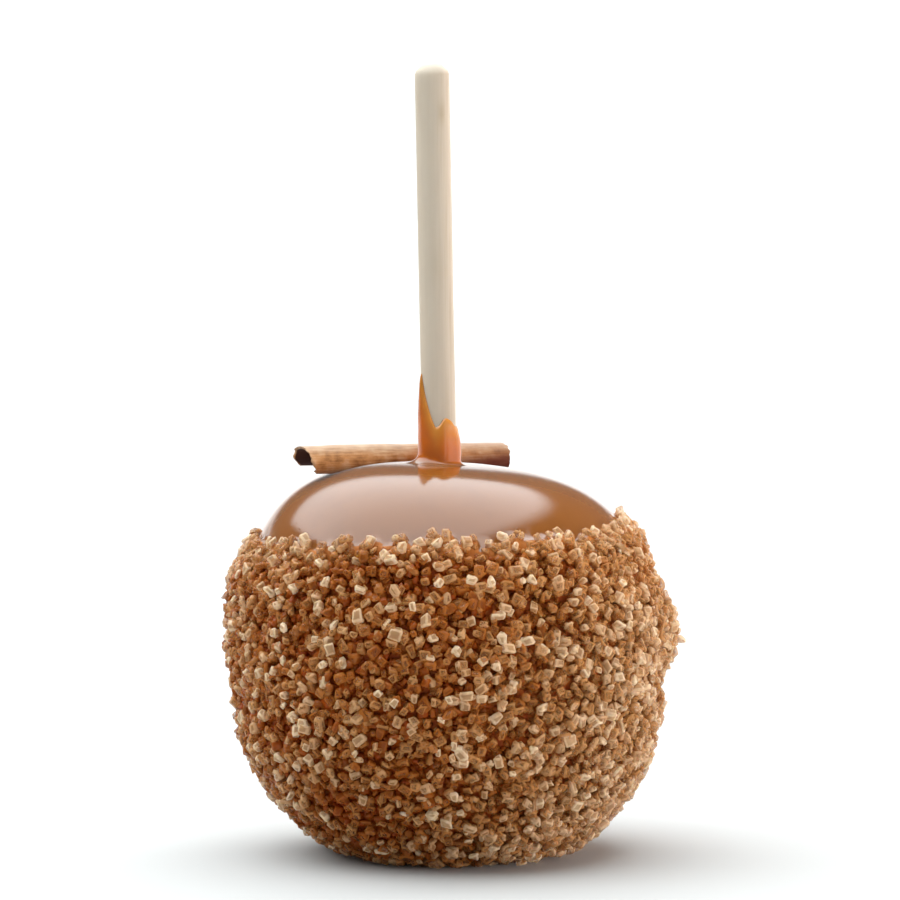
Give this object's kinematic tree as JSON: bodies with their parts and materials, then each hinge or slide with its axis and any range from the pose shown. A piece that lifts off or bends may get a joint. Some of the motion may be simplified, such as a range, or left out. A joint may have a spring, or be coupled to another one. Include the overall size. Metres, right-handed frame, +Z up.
{
  "type": "caramel apple",
  "caption": "Fruit dipped in glossy caramel and rolled in coarse raw sugar, on a round wooden stick, with a piece of cinnamon quill pressed into its top.",
  "frame": {"origin": "middle of the flat spot that it stands on", "axes": "+Z up along the stick, -Y towards the viewer, +X to the viewer's right"},
  "size_m": [0.0849, 0.0826, 0.146],
  "materials": {
    "sugared_caramel": "glossy caramel, with a rough crust of golden sugar crystals below",
    "birch": "bare sanded dowel",
    "cinnamon_bark": "dry matt bark"
  },
  "bodies": {
    "root": {"coated_apple": "sugared_caramel", "stick": "birch", "cinnamon_quill": "cinnamon_bark"}
  },
  "joints": []
}
